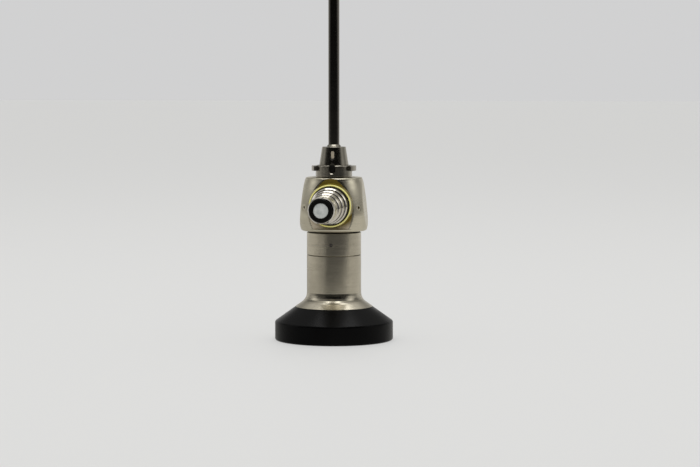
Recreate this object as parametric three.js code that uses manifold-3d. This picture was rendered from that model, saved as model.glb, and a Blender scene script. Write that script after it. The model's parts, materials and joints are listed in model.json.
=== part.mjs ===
// A rigid rod-lens endoscope with a 70 degree view, standing on its eyepiece.
// Millimetres, +Z up along the optical axis, light post towards -Y.
// Heights inside the scope are counted from the eyepiece rim that it stands on, and distances along the
// light post from the optical axis. The outermost group moves the centre of the eyepiece window to the origin.

import * as THREE from "three";
import { mergeVertices } from "three/addons/utils/BufferGeometryUtils.js";
import Module from "manifold-3d";

const wasm = await Module();
wasm.setup();

// ---- driving dimensions ----

const GAP = 0.05; // clearance between neighbours

const BODY_FACETS = 32; // round the body's turned parts
const POST_FACETS = 24; // round the light post's turned parts
const SLIM_FACETS = 16; // round the shaft and the optics
const ROD_FACETS = 12; // round the rod lenses and their spacers

const CUP_RADIUS = 16; // the eyepiece's standard 32 mm outside
const CUP_WALL = 5.05; // height of its upright wall
const CONE_SLOPE = 1.39; // radius lost for each millimetre of height, on cup and flare alike
const SEAM_RADIUS = 10.45; // where the black cup meets the steel flare
const SEAM_HEIGHT = CUP_WALL + (CUP_RADIUS - SEAM_RADIUS) / CONE_SLOPE;
const CUP_FLOOR = 5; // depth of the eyecup's recess
const WINDOW_FACE = 5.5; // height of the eyepiece window's outer face
const WINDOW_DEPTH = 1.55; // the window's thickness

const BODY_RADIUS = 7.35;
const FLARE_FILLET = 3;
const BODY_SEAM = 23.05; // the line between the ocular body and the marking sleeve
const SLEEVE_EDGE = 29.2; // where the sleeve's full width ends, short of the housing
const HOUSING_BASE = 29.7;
const HOUSING_TOP = 44.1;
const HOUSING_BELLY = 9.65; // the housing's largest radius
const BELLY_HEIGHT = 34.3;
const UPPER_ARC = 23.9; // radii of the arcs that narrow the housing above its belly and below
const LOWER_ARC = 12.5;
const HOUSING_ROUND = 0.7; // rounding of its lower edge
const CAVITY_RADIUS = 5; // the hollow where the fibres turn into the post
const CAVITY_BASE = 32.1;
const CAVITY_TOP = 40.5;
const POST_HEIGHT = 36.8;
const SCREW_HEIGHT = 36.25;
const FRONT_FLAT = 7.55; // distance of the milled front flat from the axis
const FRONT_LEDGE = 30.45; // height where that flat stops
const SIDE_FLAT = 8.46; // distance of the other three flats from the axis, at the post's height
const SIDE_TILT = THREE.MathUtils.degToRad(5.8);
const SCREW_TURN = THREE.MathUtils.degToRad(51); // the grub screws' places, either side of the post

const COLLAR_RADIUS = 4.92;
const COLLAR_TOP = 47.4;
const LUG_RADIUS = 6.02;
const LUG_BASE = 45.9;
const LUG_TOP = 47.2;
const LUG_HALF_TURN = THREE.MathUtils.degToRad(33.5);
const CONE_BASE_RADIUS = 3.96;
const CONE_TOP_RADIUS = 3.18;
const CONE_TOP = 52.3;
const SPIGOT_RADIUS = 3.2;
const NOTCH_RADIUS = 1.05; // half the width of the locating notch
const KEYHOLE_RADIUS = 0.85; // half the width of the oval recess in the cone

const SHAFT_RADIUS = 1.5;
const SHAFT_BORE = 1.35;
const WORKING_LENGTH = 140;
const SHAFT_END = CONE_TOP + WORKING_LENGTH;
const TIP_LENGTH = 6;
const VIEW_ANGLE = THREE.MathUtils.degToRad(70);
const TUBE_RADIUS = 0.95; // the optical tube inside the shaft
const TUBE_BORE = 0.85;
const ROD_RADIUS = 0.8;
const ROD_COUNT = 6;
const ROD_LENGTH = 23;
const ROD_START = 29.5;
const ROD_PITCH = 25.8;

const POST_THREAD = 3.3; // radius of the post where the inner adapter screws on
const POST_NECK = 3;
const POST_END = 27.95;
const POST_BORE = 1.95;
const INLET_END = 29.5; // reach of the light inlet's black ring
const INLET_RADIUS = POST_NECK;
const SLEEVE_BORE = 3.2; // bore of both adapters, which come off over the black ring
const RING_BASE = 7.6; // where the colour ring starts, just off the front flat

// ---- materials ----

function material(color, roughness, metalness) {
  return new THREE.MeshStandardMaterial({ color, roughness, metalness });
}

const steel = material(0xb9b2a6, 0.34, 1);
const polished = material(0xc9c6c2, 0.14, 1);
const blackPlastic = material(0x111111, 0.42, 0);
const yellow = material(0xc9a800, 0.35, 0);
const rubber = material(0x0c0c0c, 0.7, 0);
const glass = material(0xdfe8ea, 0.05, 0);
const fibre = material(0xc6cac6, 0.6, 0);
const blackened = material(0x1c1b1a, 0.6, 0.6);

// ---- building blocks ----

/** Points on an arc in a profile, from one angle to another, in degrees from the radial direction. */
function arc(radius, height, size, from, to, steps) {
  return Array.from({ length: steps + 1 }, (_, i) => {
    const angle = THREE.MathUtils.degToRad(from + ((to - from) * i) / steps);
    return [radius + size * Math.cos(angle), height + size * Math.sin(angle)];
  });
}

/** A body turned about +Z. The profile is a list of [radius, height], closed on itself or along the axis. */
function turned(profile, facets) {
  const area = profile.reduce((sum, [r, h], i) => {
    const [nextR, nextH] = profile[(i + 1) % profile.length];
    return sum + r * nextH - nextR * h;
  }, 0);
  const ordered = area < 0 ? [...profile].reverse() : profile;
  const onAxis = ordered.some(([r]) => r === 0);
  const start = onAxis ? ordered.findIndex(([r], i) => r === 0 && ordered.at(i - 1)[0] === 0) : 0;
  const turnedRound = [...ordered.slice(start), ...ordered.slice(0, start)];
  const points = turnedRound.map(([r, h]) => new THREE.Vector2(r, h));
  if (!onAxis) points.push(points[0].clone());
  return new THREE.LatheGeometry(points, facets).rotateX(Math.PI / 2);
}

/** A ring of rectangular section between two radii and two heights. */
function ring(inner, outer, low, high, facets) {
  const profile = [
    [inner, low],
    [outer, low],
    [outer, high],
    [inner, high],
  ];
  return turned(profile, facets);
}

/** A plain round disc or rod. */
function disc(radius, low, high, facets) {
  return ring(0, radius, low, high, facets);
}

/** A prism with round ends, along +Z, its length along Y. */
function obround(radius, halfSpan, low, high) {
  const outline = new THREE.Shape();
  outline.absarc(0, halfSpan, radius, 0, Math.PI);
  outline.absarc(0, -halfSpan, radius, Math.PI, 2 * Math.PI);
  const settings = { depth: high - low, bevelEnabled: false, curveSegments: 8 };
  return new THREE.ExtrudeGeometry(outline, settings).translate(0, 0, low);
}

/** Turns a shape made along +Z so that it points along the light post, at a height on the scope. */
function alongPost(geometry, height) {
  return geometry.rotateX(Math.PI / 2).translate(0, 0, height);
}

function solidOf(geometry) {
  const bare = new THREE.BufferGeometry();
  const source = geometry.index ? geometry.toNonIndexed() : geometry;
  bare.setAttribute("position", source.getAttribute("position"));
  const merged = mergeVertices(bare, 1e-4);
  const mesh = new wasm.Mesh({
    numProp: 3,
    vertProperties: new Float32Array(merged.attributes.position.array),
    triVerts: new Uint32Array(merged.index.array),
  });
  return new wasm.Manifold(mesh);
}

function geometryOf(solid) {
  const mesh = solid.getMesh();
  const geometry = new THREE.BufferGeometry();
  geometry.setAttribute("position", new THREE.BufferAttribute(new Float32Array(mesh.vertProperties), 3));
  geometry.setIndex(new THREE.BufferAttribute(new Uint32Array(mesh.triVerts), 1));
  geometry.computeVertexNormals();
  return geometry;
}

/** A geometry with others taken out of it. */
function cut(geometry, ...tools) {
  return geometryOf(tools.reduce((solid, tool) => solid.subtract(solidOf(tool)), solidOf(geometry)));
}

/** Several geometries as one. */
function joined(geometry, ...others) {
  return geometryOf(others.reduce((solid, other) => solid.add(solidOf(other)), solidOf(geometry)));
}

function piece(name, geometry, look) {
  const mesh = new THREE.Mesh(geometry, look);
  mesh.name = name;
  return mesh;
}

function group(...children) {
  return new THREE.Group().add(...children);
}

// ---- eyepiece ----

const FRAME_FLANGE = 7.55; // radius of the window frame's flange
const SPIGOT_BASE = 6.35; // where the ocular body's thread starts inside the cup
const CUP_THREAD = 8.2;
const APERTURE = 4.1; // clear radius of the window
const WINDOW_REBATE = APERTURE + 0.45; // where the frame holds the window's edge
const FRAME_REACH = APERTURE + 1.3; // outside of the frame's ring, in the middle of the recess
const RECESS_MOUTH = 12.8;

function eyepieceCup() {
  const profile = [
    [CUP_RADIUS - 0.4, 0],
    [CUP_RADIUS, 0.4],
    [CUP_RADIUS, CUP_WALL - 0.2],
    [CUP_RADIUS - 0.25, CUP_WALL + 0.15],
    [SEAM_RADIUS, SEAM_HEIGHT],
    [CUP_THREAD + GAP, SEAM_HEIGHT],
    [CUP_THREAD + GAP, SPIGOT_BASE - GAP],
    [FRAME_REACH + GAP, SPIGOT_BASE - GAP],
    [FRAME_REACH + GAP, CUP_FLOOR],
    [APERTURE + 3.1, CUP_FLOOR],
    [RECESS_MOUTH - 0.2, 0.2],
    [RECESS_MOUTH, 0],
  ];
  return piece("eyepiece_cup", turned(profile, BODY_FACETS), blackPlastic);
}

function windowFrame() {
  const profile = [
    [WINDOW_REBATE, CUP_FLOOR],
    [FRAME_REACH, CUP_FLOOR],
    [FRAME_REACH, SPIGOT_BASE],
    [FRAME_FLANGE, SPIGOT_BASE],
    [FRAME_FLANGE, SPIGOT_BASE + 1.2],
    [APERTURE, SPIGOT_BASE + 1.2],
    [APERTURE, WINDOW_FACE + WINDOW_DEPTH + GAP],
    [WINDOW_REBATE, WINDOW_FACE + WINDOW_DEPTH + GAP],
  ];
  return piece("window_frame", turned(profile, BODY_FACETS), steel);
}

function eyepieceWindow() {
  const window = disc(WINDOW_REBATE - GAP, WINDOW_FACE, WINDOW_FACE + WINDOW_DEPTH, BODY_FACETS);
  return piece("eyepiece_window", window, glass);
}

/** A rubber ring of round section. */
function roundSeal(name, radius, height, thickness, facets) {
  const section = arc(radius, height, thickness / 2, 0, 315, 7);
  return piece(name, turned(section, facets), rubber);
}

// ---- ocular body and its optics ----

const OCULAR_BORE = 5.8;
const LENS_RADIUS = 4.85;
const SLEEVE_THREAD = 6.3;
const SLEEVE_THREAD_TOP = 26;
const OCULAR_FOOT = 8.15; // where the bore widens for the window frame's flange

function ocularBody() {
  const slope = Math.atan(1 / CONE_SLOPE);
  const fillet = Math.PI / 2 - slope; // the angle that the fillet turns through
  const corner = SEAM_HEIGHT + (SEAM_RADIUS - BODY_RADIUS) / CONE_SLOPE;
  const filletHeight = corner + FLARE_FILLET * Math.tan(fillet / 2);
  const turn = THREE.MathUtils.radToDeg(fillet);
  const profile = [
    [CUP_THREAD, SPIGOT_BASE],
    [CUP_THREAD, SEAM_HEIGHT + GAP],
    [SEAM_RADIUS, SEAM_HEIGHT + GAP],
    ...arc(BODY_RADIUS + FLARE_FILLET, filletHeight, FLARE_FILLET, 180 + turn, 180, 4),
    [BODY_RADIUS, BODY_SEAM - 0.15],
    [SLEEVE_THREAD, BODY_SEAM - 0.1],
    [SLEEVE_THREAD, SLEEVE_THREAD_TOP],
    [OCULAR_BORE, SLEEVE_THREAD_TOP],
    [OCULAR_BORE, OCULAR_FOOT],
    [FRAME_FLANGE + GAP, OCULAR_FOOT],
    [FRAME_FLANGE + GAP, SPIGOT_BASE],
  ];
  return piece("ocular_body", turned(profile, BODY_FACETS), steel);
}

/** A lens that bulges on both faces, from its lower to its upper edge, with a bulge on each. */
function lens(name, radius, low, high, bulge, facets) {
  const profile = [
    [0, low - bulge],
    [radius * 0.6, low - bulge * 0.64],
    [radius, low],
    [radius, high],
    [radius * 0.6, high + bulge * 0.64],
    [0, high + bulge],
  ];
  return piece(name, turned(profile, facets), glass);
}

function lensBarrel() {
  return piece("lens_barrel", ring(LENS_RADIUS + GAP, OCULAR_BORE - GAP, 9, 20, POST_FACETS), blackened);
}

function lensLockRing() {
  const slot = new THREE.BoxGeometry(2.2 * LENS_RADIUS, 0.8, 0.8).translate(0, 0, 9.1);
  return piece("lens_lock_ring", cut(ring(4, LENS_RADIUS, 9.1, 10.1, POST_FACETS), slot), blackened);
}

function fieldStop() {
  const marker = new THREE.BoxGeometry(0.4, 0.7, 2).translate(0, 1.7, 20.3);
  const plate = ring(1.7, OCULAR_BORE - GAP, 20.1, 20.5, POST_FACETS);
  return piece("field_stop", cut(plate, marker), blackened);
}

function eyepieceOptics() {
  return group(
    lensBarrel(),
    lensLockRing(),
    lens("ocular_lens_rear", LENS_RADIUS, 10.9, 12.3, 0.6, POST_FACETS),
    piece("lens_spacer", ring(4.2, LENS_RADIUS, 12.45, 14.65, POST_FACETS), blackened),
    lens("ocular_lens_front", LENS_RADIUS, 14.8, 16.2, 0.6, POST_FACETS),
    fieldStop(),
  );
}

// ---- marking sleeve ----

const SEAL_SEAT = SLEEVE_THREAD_TOP + 0.7; // top of the groove that holds the sleeve's seal

function markingSleeve() {
  const profile = [
    [BODY_RADIUS - 0.05, BODY_SEAM + 0.1],
    [BODY_RADIUS, BODY_SEAM + 0.15],
    [BODY_RADIUS, SLEEVE_EDGE - 0.05],
    [SLEEVE_THREAD - 0.1, SLEEVE_EDGE],
    [SLEEVE_THREAD - 0.1, CAVITY_BASE - 0.1],
    [CAVITY_RADIUS, CAVITY_BASE - 0.1],
    [CAVITY_RADIUS, SEAL_SEAT],
    [SLEEVE_THREAD + GAP, SEAL_SEAT],
    [SLEEVE_THREAD + GAP, BODY_SEAM + 0.1],
  ];
  return piece("marking_sleeve", turned(profile, BODY_FACETS), steel);
}

function centringBush() {
  return piece("centring_bush", ring(TUBE_RADIUS + GAP, CAVITY_RADIUS - GAP, 27, 29, POST_FACETS), blackened);
}

// ---- light housing ----

/** A block that takes everything beyond a flat at a distance from the axis, leaning with the barrel. */
function flatTool(distance, tilt, turn) {
  const block = new THREE.BoxGeometry(30, 10, 40).translate(0, -5, 0);
  return block.rotateX(-tilt).translate(0, -distance, POST_HEIGHT).rotateZ(turn);
}

function lightHousing() {
  const roundHeight = HOUSING_BASE + HOUSING_ROUND;
  const lowAngle = Math.asin((roundHeight - BELLY_HEIGHT) / LOWER_ARC);
  const roundRadius = HOUSING_BELLY - LOWER_ARC * (1 - Math.cos(lowAngle)) - HOUSING_ROUND;
  const lowTurn = THREE.MathUtils.radToDeg(lowAngle);
  const topTurn = THREE.MathUtils.radToDeg(Math.asin((HOUSING_TOP - BELLY_HEIGHT) / UPPER_ARC));
  const profile = [
    ...arc(roundRadius, roundHeight, HOUSING_ROUND, -90, lowTurn, 3),
    ...arc(HOUSING_BELLY - LOWER_ARC, BELLY_HEIGHT, LOWER_ARC, lowTurn, 0, 3),
    ...arc(HOUSING_BELLY - UPPER_ARC, BELLY_HEIGHT, UPPER_ARC, 0, topTurn, 6).slice(1),
    [SPIGOT_RADIUS + GAP, HOUSING_TOP],
    [SPIGOT_RADIUS + GAP, CAVITY_TOP],
    [CAVITY_RADIUS, CAVITY_TOP],
    [CAVITY_RADIUS, CAVITY_BASE],
    [SLEEVE_THREAD - GAP, CAVITY_BASE],
    [SLEEVE_THREAD - GAP, HOUSING_BASE],
  ];
  const front = new THREE.BoxGeometry(30, 10, 20).translate(0, -FRONT_FLAT - 5, FRONT_LEDGE + 10);
  const flats = [1, 2, 3].map((quarter) => flatTool(SIDE_FLAT, SIDE_TILT, (quarter * Math.PI) / 2));
  const postHole = alongPost(disc(POST_THREAD + 0.3, 0, 12, POST_FACETS), POST_HEIGHT);
  const screwHoles = [-SCREW_TURN, SCREW_TURN].map((turn) =>
    alongPost(disc(0.95, 8, 12, ROD_FACETS), SCREW_HEIGHT).rotateZ(turn),
  );
  const shape = cut(turned(profile, BODY_FACETS), front, ...flats, postHole, ...screwHoles);
  return piece("light_housing", shape, steel);
}

/** A grub screw with a tiny socket, just under the housing's surface. */
function grubScrew(name, turn) {
  const socket = disc(0.28, 9.1, 10, 6);
  const screw = alongPost(cut(disc(0.85, 8.05, 9.4, ROD_FACETS), socket), SCREW_HEIGHT);
  return piece(name, screw.rotateZ(turn), steel);
}

// ---- light post: distances run along the post from the optical axis ----

const FLANGE_RADIUS = 4.5;
const FLANGE_END = 8.9;
const THREAD_END = 13.95;
const STEP_RADIUS = 3.5; // the inner adapter's thread for the outer one
const STEP_START = 16.65;
const STEP_END = 19.4;
const OUTER_START = 17.25; // the outer adapter's two ends
const OUTER_END = 28.75;
const SEAL_END = 9.8; // how far the inner adapter's seal reaches

function colourRing() {
  const profile = [
    [FLANGE_RADIUS + GAP, RING_BASE],
    [6.05, RING_BASE],
    [5.6, 9.35],
    [5.5, 9.5],
    [5.32, 9.5],
    [5.15, 9.35],
    [FLANGE_RADIUS + GAP, FLANGE_END],
  ];
  return piece("colour_ring", turned(profile, POST_FACETS), yellow);
}

function lightPost() {
  const profile = [
    [POST_BORE, CAVITY_RADIUS],
    [POST_THREAD + 0.25, CAVITY_RADIUS],
    [POST_THREAD + 0.25, RING_BASE],
    [FLANGE_RADIUS, RING_BASE],
    [FLANGE_RADIUS, FLANGE_END - GAP],
    [POST_THREAD, FLANGE_END - GAP],
    [POST_THREAD, THREAD_END],
    [POST_NECK, THREAD_END],
    [POST_NECK, POST_END],
    [POST_BORE, POST_END],
  ];
  return piece("light_post", turned(profile, POST_FACETS), polished);
}

function innerAdapterSeal() {
  const profile = [
    [POST_THREAD + GAP, FLANGE_END + GAP],
    [FLANGE_RADIUS, FLANGE_END + GAP],
    [5.1, 9.55],
    [5.1, SEAL_END],
    [POST_THREAD + GAP, SEAL_END],
  ];
  return piece("inner_adapter_seal", turned(profile, POST_FACETS), rubber);
}

function innerAdapter() {
  const profile = [
    [POST_THREAD + GAP, SEAL_END + GAP],
    [4.75, SEAL_END + GAP],
    [4.95, 10.05],
    [4.95, 12.3],
    [4.65, 12.6],
    [4.2, 12.65],
    [4.2, 13.3],
    [4.45, 13.55],
    [4.45, 16.3],
    [4.15, 16.6],
    [STEP_RADIUS, STEP_START],
    [STEP_RADIUS, STEP_END],
    [SLEEVE_BORE, STEP_END],
    [SLEEVE_BORE, THREAD_END + GAP],
    [POST_THREAD + GAP, THREAD_END + GAP],
  ];
  return piece("inner_adapter", turned(profile, POST_FACETS), polished);
}

function outerAdapterSeal() {
  const start = STEP_START + GAP;
  return piece("outer_adapter_seal", ring(STEP_RADIUS + GAP, 3.8, start, start + 0.5, POST_FACETS), rubber);
}

function outerAdapter() {
  const profile = [
    [STEP_RADIUS + GAP, OUTER_START],
    [3.85, OUTER_START],
    [4, 17.4],
    [4, 20.55],
    [3.8, 20.75],
    [3.6, 20.8],
    [3.6, 24.6],
    [3.42, 24.75],
    [3.42, 25.35],
    [3.57, 25.5],
    [3.57, 28.2],
    [3.34, OUTER_END],
    [SLEEVE_BORE, OUTER_END],
    [SLEEVE_BORE, STEP_END + GAP],
    [STEP_RADIUS + GAP, STEP_END + GAP],
  ];
  return piece("outer_adapter", turned(profile, POST_FACETS), polished);
}

function lightInlet() {
  const glassRadius = 1.95;
  const start = POST_END + GAP;
  return group(
    piece("inlet_ring", ring(glassRadius + GAP, INLET_RADIUS, start, INLET_END, POST_FACETS), blackPlastic),
    piece("inlet_glass", disc(glassRadius, start, INLET_END - 0.1, POST_FACETS), fibre),
    piece("light_guide_core", disc(POST_BORE - GAP, 5.5, POST_END, SLIM_FACETS), fibre),
  );
}

/** The gathered light fibres, from beside the optical tube round into the post. */
function fibreBundle() {
  const route = [
    [-1.95, 40.2],
    [-2.05, 39],
    [-2.6, 37.6],
    [-3.8, 36.75],
    [-5.4, POST_HEIGHT],
  ];
  const path = new THREE.CatmullRomCurve3(route.map(([y, z]) => new THREE.Vector3(0, y, z)));
  const section = new THREE.Shape().absarc(0, 0, 0.85, 0, 2 * Math.PI);
  const settings = { extrudePath: path, steps: 10, curveSegments: 5, bevelEnabled: false };
  return piece("fibre_bundle", new THREE.ExtrudeGeometry(section, settings), fibre);
}

function lightPostGroup() {
  const post = group(
    colourRing(),
    lightPost(),
    innerAdapterSeal(),
    innerAdapter(),
    outerAdapterSeal(),
    outerAdapter(),
    lightInlet(),
  );
  post.rotation.x = Math.PI / 2;
  post.position.z = POST_HEIGHT;
  return post;
}

// ---- sheath seat: bayonet collar and cone ----

const SPIGOT_END = 41; // how far the cone's spigot reaches into the housing

/** The locating notch that runs up the collar into the foot of the cone. */
function notchTool() {
  return alongPost(obround(NOTCH_RADIUS, 0.6, 3.3, 8), 46.65);
}

function bayonetCollar() {
  const profile = [
    [SPIGOT_RADIUS + GAP, HOUSING_TOP + GAP],
    [COLLAR_RADIUS, HOUSING_TOP + GAP],
    [COLLAR_RADIUS, COLLAR_TOP - 0.45],
    [COLLAR_RADIUS - 0.45, COLLAR_TOP],
    [SPIGOT_RADIUS + GAP, COLLAR_TOP],
  ];
  const wedge = new THREE.Shape();
  wedge.moveTo(0, 0);
  wedge.lineTo(LUG_RADIUS * Math.cos(LUG_HALF_TURN), -LUG_RADIUS * Math.sin(LUG_HALF_TURN));
  wedge.absarc(0, 0, LUG_RADIUS, -LUG_HALF_TURN, LUG_HALF_TURN);
  wedge.closePath();
  const settings = { depth: LUG_TOP - LUG_BASE, bevelEnabled: false, curveSegments: 6 };
  const lugs = [0, Math.PI].map((turn) =>
    new THREE.ExtrudeGeometry(wedge, settings).rotateZ(turn).translate(0, 0, LUG_BASE),
  );
  const bore = disc(SPIGOT_RADIUS + GAP, HOUSING_TOP, COLLAR_TOP + 1, BODY_FACETS);
  const collar = joined(turned(profile, BODY_FACETS), ...lugs);
  return piece("bayonet_collar", cut(collar, bore, notchTool()), steel);
}

function sheathCone() {
  const bore = SHAFT_RADIUS + GAP;
  const profile = [
    [bore, SPIGOT_END],
    [SPIGOT_RADIUS, SPIGOT_END],
    [SPIGOT_RADIUS, COLLAR_TOP + GAP],
    [CONE_BASE_RADIUS, COLLAR_TOP + GAP],
    [CONE_TOP_RADIUS, CONE_TOP - 0.1],
    [CONE_TOP_RADIUS - 0.1, CONE_TOP],
    [bore + 0.4, CONE_TOP + 0.1],
    [bore + 0.25, CONE_TOP + 0.4],
    [bore, CONE_TOP + 0.6],
  ];
  const keyhole = alongPost(obround(KEYHOLE_RADIUS, 0.55, 2.85, 8), 50.2);
  return piece("sheath_cone", cut(turned(profile, BODY_FACETS), notchTool(), keyhole), steel);
}

// ---- shaft, distal tip and relay optics ----

const SHAFT_START = 41.5;
const TIP_BASE = SHAFT_END - TIP_LENGTH;
const TIP_BORE_TOP = TIP_BASE + 2.6;
const WINDOW_RADIUS = 0.7;
const WINDOW_CENTRE = new THREE.Vector3(0, 0.85, SHAFT_END - 2.2); // on the slanted face
const UP_SLANT = new THREE.Vector3(0, -Math.cos(VIEW_ANGLE), Math.sin(VIEW_ANGLE));
const OUTLET_CENTRE = WINDOW_CENTRE.clone().addScaledVector(UP_SLANT, 1.2);

/** Turns a shape made along +Z so that it looks out of the slanted face, with its origin at a point there. */
function alongView(geometry, point) {
  return geometry.rotateX(-VIEW_ANGLE).translate(point.x, point.y, point.z);
}

function distalTip() {
  const profile = [
    [TUBE_RADIUS + GAP, TIP_BASE - 1.5],
    [SHAFT_BORE - GAP, TIP_BASE - 1.5],
    [SHAFT_BORE - GAP, TIP_BASE],
    [SHAFT_RADIUS, TIP_BASE],
    [SHAFT_RADIUS, SHAFT_END - 0.5],
    [SHAFT_RADIUS - 0.15, SHAFT_END - 0.2],
    [SHAFT_RADIUS - 0.5, SHAFT_END],
    [0, SHAFT_END],
    [0, TIP_BORE_TOP],
    [TUBE_RADIUS + GAP, TIP_BORE_TOP],
  ];
  const slant = alongView(new THREE.BoxGeometry(8, 20, 8).translate(0, 0, 4), WINDOW_CENTRE);
  const windowPocket = alongView(disc(WINDOW_RADIUS + GAP, -1.6, 1, SLIM_FACETS), WINDOW_CENTRE);
  const outletPocket = alongView(disc(0.3, -0.9, 1, ROD_FACETS), OUTLET_CENTRE);
  const shape = cut(turned(profile, SLIM_FACETS), slant, windowPocket, outletPocket);
  return piece("distal_tip", shape, steel);
}

function distalOptics() {
  const windowDisc = alongView(disc(WINDOW_RADIUS, -0.45, -0.05, SLIM_FACETS), WINDOW_CENTRE);
  const prism = alongView(new THREE.BoxGeometry(0.9, 0.9, 0.9).translate(0, 0, -1), WINDOW_CENTRE);
  const outlet = alongView(disc(0.25, -0.8, -0.05, ROD_FACETS), OUTLET_CENTRE);
  return group(
    piece("distal_window", windowDisc, glass),
    piece("deflection_prism", prism, glass),
    piece("fibre_outlet", outlet, fibre),
    lens("objective_lens", ROD_RADIUS, TIP_BASE + 0.4, TIP_BASE + 1.6, 0.15, ROD_FACETS),
  );
}

/** The rod lenses and the spacer tubes between them, in a row up the optical tube. */
function relayTrain() {
  const train = new THREE.Group();
  for (let i = 0; i < ROD_COUNT; i++) {
    const low = ROD_START + i * ROD_PITCH;
    const high = low + ROD_LENGTH;
    train.add(piece(`rod_lens_${i + 1}`, disc(ROD_RADIUS, low, high, ROD_FACETS), glass));
    if (i === ROD_COUNT - 1) break;
    const spacer = ring(0.5, ROD_RADIUS, high + GAP, low + ROD_PITCH - GAP, ROD_FACETS);
    train.add(piece(`rod_spacer_${i + 1}`, spacer, blackened));
  }
  return train;
}

function shaft() {
  const tubeEnd = TIP_BORE_TOP - GAP;
  return group(
    piece("shaft_tube", ring(SHAFT_BORE, SHAFT_RADIUS, SHAFT_START, TIP_BASE - GAP, SLIM_FACETS), steel),
    piece("shaft_fibres", ring(TUBE_RADIUS + GAP, SHAFT_BORE - GAP, 42, TIP_BASE - 1.6, SLIM_FACETS), fibre),
    piece("optical_tube", ring(TUBE_BORE, TUBE_RADIUS, 21, tubeEnd, SLIM_FACETS), steel),
  );
}

// ---- the whole scope ----

const scope = group(
  eyepieceCup(),
  windowFrame(),
  eyepieceWindow(),
  roundSeal("window_seal", 6.8, SPIGOT_BASE + 1.5, 0.5, POST_FACETS),
  ocularBody(),
  eyepieceOptics(),
  roundSeal("sleeve_seal", SLEEVE_THREAD - 0.25, SLEEVE_THREAD_TOP + 0.35, 0.5, POST_FACETS),
  markingSleeve(),
  centringBush(),
  lightHousing(),
  grubScrew("grub_screw_left", -SCREW_TURN),
  grubScrew("grub_screw_right", SCREW_TURN),
  lightPostGroup(),
  fibreBundle(),
  bayonetCollar(),
  sheathCone(),
  shaft(),
  relayTrain(),
  distalTip(),
  distalOptics(),
);
scope.position.z = -WINDOW_FACE;

export default group(scope);
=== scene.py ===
import json
import math
from typing import NamedTuple

import bmesh
import bpy
import numpy as np
from mathutils import Matrix, Vector


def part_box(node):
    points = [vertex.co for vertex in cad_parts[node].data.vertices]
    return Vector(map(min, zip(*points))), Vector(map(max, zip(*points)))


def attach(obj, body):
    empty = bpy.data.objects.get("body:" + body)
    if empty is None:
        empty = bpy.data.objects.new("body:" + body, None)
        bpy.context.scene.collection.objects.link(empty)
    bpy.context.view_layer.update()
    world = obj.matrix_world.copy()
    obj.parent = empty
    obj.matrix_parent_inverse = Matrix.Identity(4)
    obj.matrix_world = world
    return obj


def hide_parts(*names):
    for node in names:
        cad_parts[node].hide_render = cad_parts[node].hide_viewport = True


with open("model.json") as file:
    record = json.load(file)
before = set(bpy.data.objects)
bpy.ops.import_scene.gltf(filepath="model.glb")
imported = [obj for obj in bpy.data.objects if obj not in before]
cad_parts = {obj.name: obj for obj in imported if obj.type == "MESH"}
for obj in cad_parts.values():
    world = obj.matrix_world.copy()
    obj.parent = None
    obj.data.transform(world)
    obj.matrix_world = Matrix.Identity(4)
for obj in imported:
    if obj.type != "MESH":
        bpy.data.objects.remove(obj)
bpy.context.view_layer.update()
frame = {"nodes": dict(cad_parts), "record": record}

# A rigid endoscope that stands on its eyepiece.
# Sizes are in millimetres, and heights are counted from the rim that the scope stands on.
# Distances along the light post are counted from the optical axis.

MM = 0.001
FACETS = 144  # round a large turned piece
FINE_FACETS = 72  # round a small one
HOLE_FACETS = 48  # round a hole or a screw
SHARP = math.radians(28)  # edges that turn by more than this stay crisp
FILLET_STEP = math.radians(12)  # turn between neighbouring points of a fillet
FILLET_SHARE = 0.49  # the most of a straight stretch that one fillet takes
SUPPORT = 0.06  # distance of a supporting row of vertices from an eased edge
LONG_STRETCH = 6 * SUPPORT  # a stretch longer than this gets supporting rows
TINY = 1e-6  # radii this close together are the same
MERGE = 1e-7  # points this close together are one, in metres
NEAR = 0.05  # a face whose middle is this near a plane lies in it
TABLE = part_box("eyepiece_cup")[0].z  # in metres, in the frame


def low(node):
    """A CAD node's lowest corner, in millimetres above the table."""
    return (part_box(node)[0] - Vector((0, 0, TABLE))) / MM


def high(node):
    """A CAD node's highest corner, in millimetres above the table."""
    return (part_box(node)[1] - Vector((0, 0, TABLE))) / MM


def radius(node):
    """Half of a CAD node's width."""
    return (high(node).x - low(node).x) / 2


POST_HEIGHT = (low("inlet_ring").z + high("inlet_ring").z) / 2

FACE_FRONT = Matrix.Rotation(math.pi / 2, 4, "X")
UPRIGHT = Matrix.Translation((0, 0, TABLE)) @ Matrix.Scale(MM, 4)
ALONG_POST = UPRIGHT @ Matrix.Translation((0, 0, POST_HEIGHT)) @ FACE_FRONT


# ---- materials ----

RANGE_SOCKETS = ("From Min", "From Max", "To Min", "To Max")
NOISE_LOW = 0.3  # most of a noise's values lie between these two
NOISE_HIGH = 0.7
LIP_START = 9.14  # along the post, where the ring's enamel turns from painted shade to a painted highlight
LIP_END = 9.3
PAINTED_REFLECTION_RIGHT = 0.7  # the centre of the painted reflection and shade on the front flat, from the post's axis
PAINTED_REFLECTION_UP = 0.9
PAINTED_REFLECTION_RADIUS = 6.4  # all of the painted reflection's colour lies inside this, and it fades over the rest
PAINTED_REFLECTION_EDGE = 8.0


def set_range(node, *numbers):
    """Sets what a Map Range node takes, from low to high, and what it gives, from low to high."""
    for name, number in zip(RANGE_SOCKETS, numbers):
        node.inputs[name].default_value = number


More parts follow.
